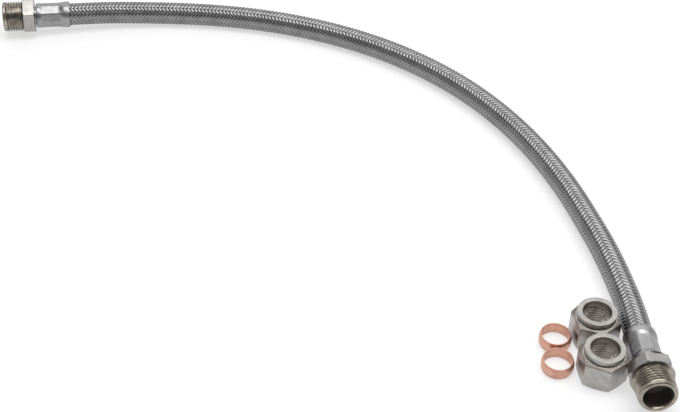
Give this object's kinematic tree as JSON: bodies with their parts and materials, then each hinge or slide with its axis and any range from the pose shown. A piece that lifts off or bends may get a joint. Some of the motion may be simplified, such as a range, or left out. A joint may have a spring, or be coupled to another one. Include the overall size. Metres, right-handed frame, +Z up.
{
  "type": "braided flexible hose with compression ends",
  "caption": "Flexible stainless steel braided water hose with crimped threaded fittings, its compression nuts and copper olives lying beside one end.",
  "frame": {"origin": "on the table, under the middle of the box around the fittings, ferrules, nuts and olives", "axes": "+Z up from the table, +X to the right and +Y away from the viewer of the picture; the near end points along -Y and the far end along -X"},
  "size_m": [0.412, 0.373, 0.0256],
  "materials": {
    "nickel": "satin nickel plate over brass",
    "stainless": "bright pressed stainless steel",
    "wire": "woven bright stainless wire",
    "copper": "plain matt copper",
    "rubber": "matt black rubber"
  },
  "bodies": {
    "root": {"far_fitting": "nickel", "far_ferrule": "stainless", "near_fitting": "nickel", "near_ferrule": "stainless", "braid": "wire", "liner": "rubber", "front_nut": "nickel", "back_nut": "nickel", "front_olive": "copper", "back_olive": "copper"}
  },
  "joints": []
}
